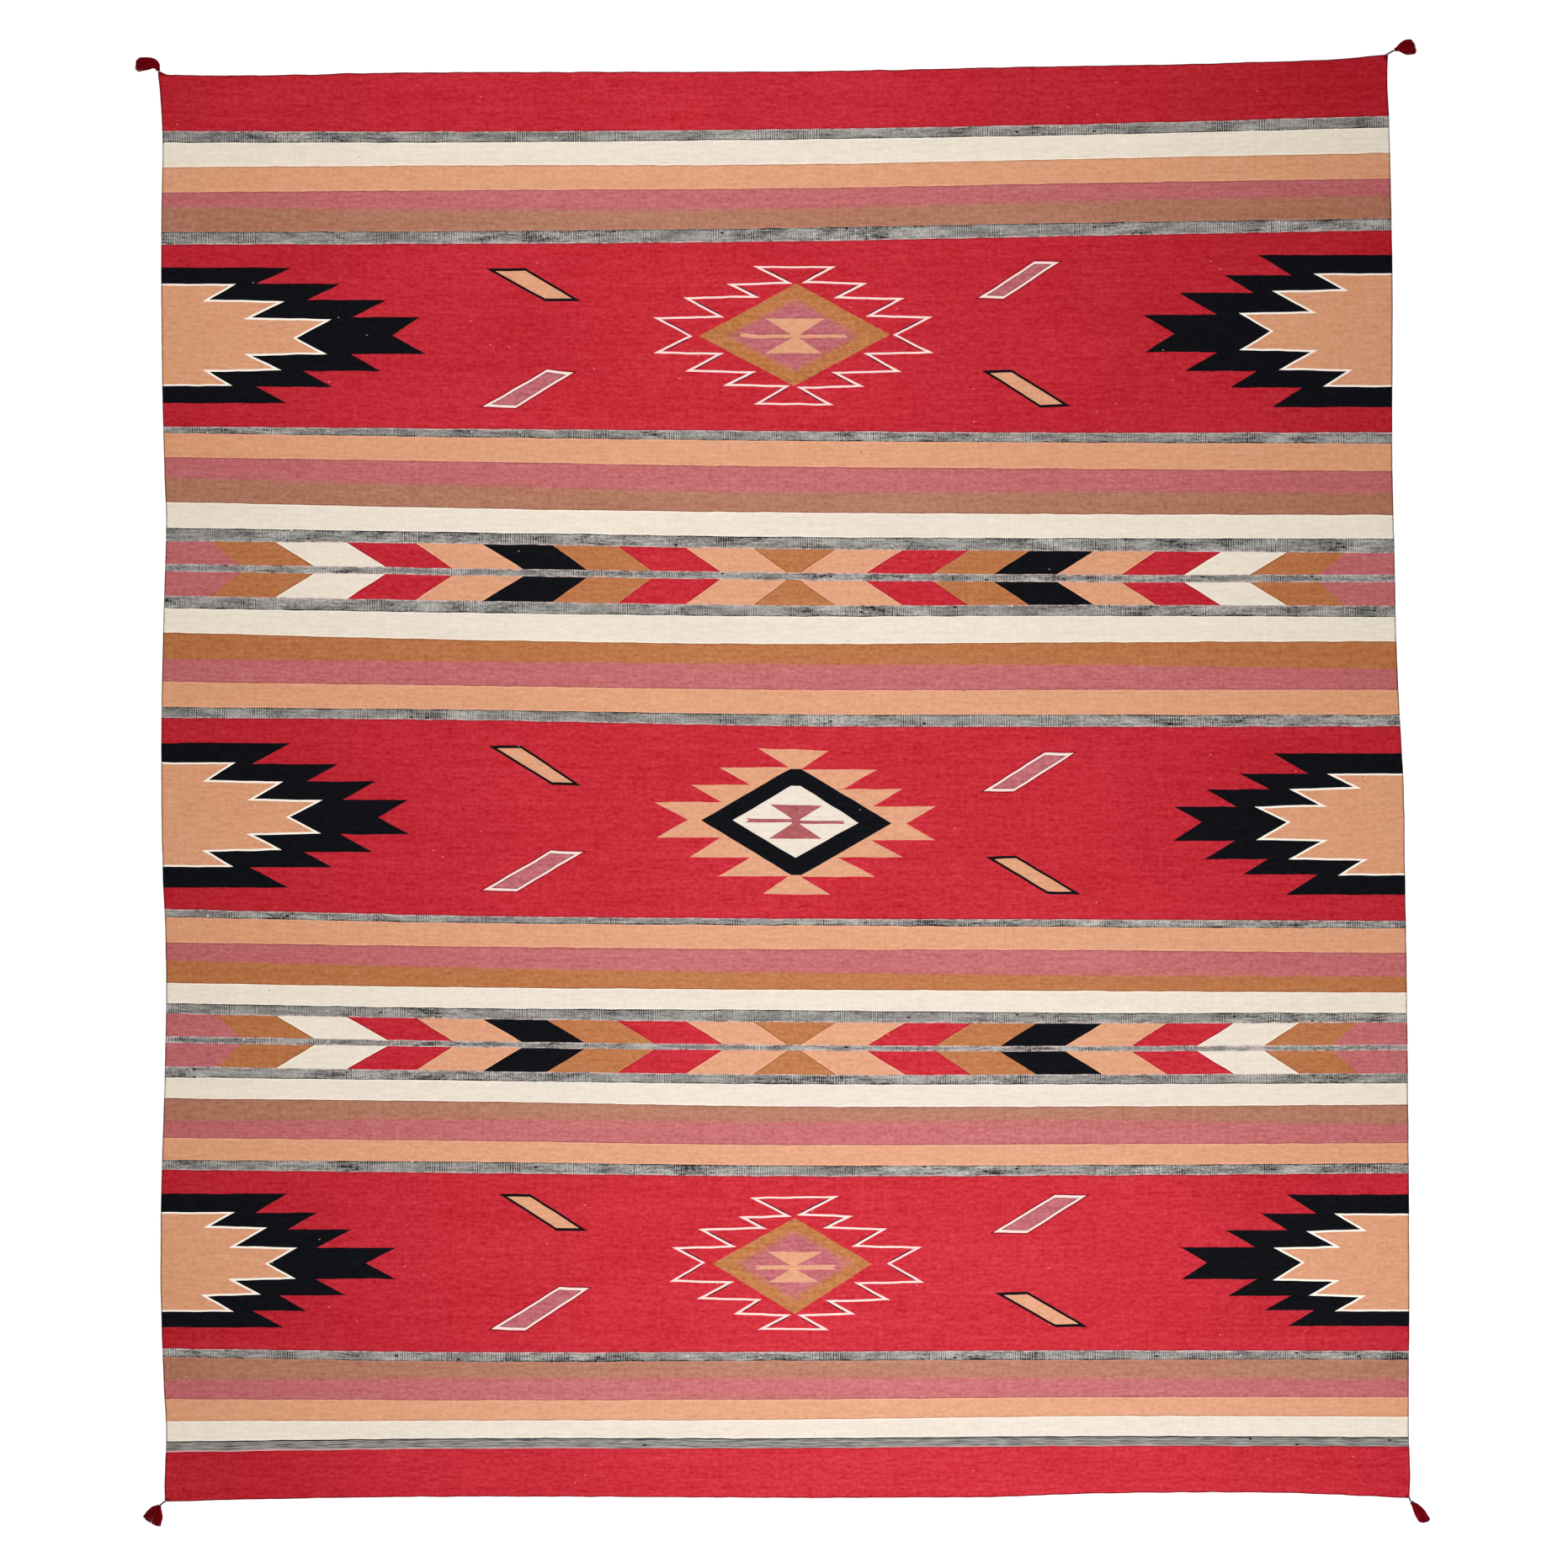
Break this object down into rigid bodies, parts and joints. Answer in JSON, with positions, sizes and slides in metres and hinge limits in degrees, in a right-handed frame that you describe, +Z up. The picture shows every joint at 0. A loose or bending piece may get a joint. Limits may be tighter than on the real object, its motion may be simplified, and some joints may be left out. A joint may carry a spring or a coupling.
{
  "type": "flatweave rug",
  "caption": "Flatweave cotton rug lying flat, woven in stripes, chevron bands and serrated diamonds, with a small tassel on a short cord at each corner.",
  "frame": {"origin": "on the floor under the middle of the whole rug, tassels included", "axes": "+Z up from the floor, +Y along the warps, +X along the wefts"},
  "size_m": [2.8768, 3.3034, 0.0091],
  "materials": {
    "cloth": "matt woven cotton, patterned",
    "cord": "matt twisted cotton",
    "tassel": "matt cut yarn"
  },
  "bodies": {
    "root": {"rug_cloth": "cloth", "corner_cord_top_left": "cord", "corner_cord_top_right": "cord", "corner_cord_bottom_left": "cord", "corner_cord_bottom_right": "cord", "tassel_top_left": "tassel", "tassel_top_right": "tassel", "tassel_bottom_left": "tassel", "tassel_bottom_right": "tassel"}
  },
  "joints": []
}
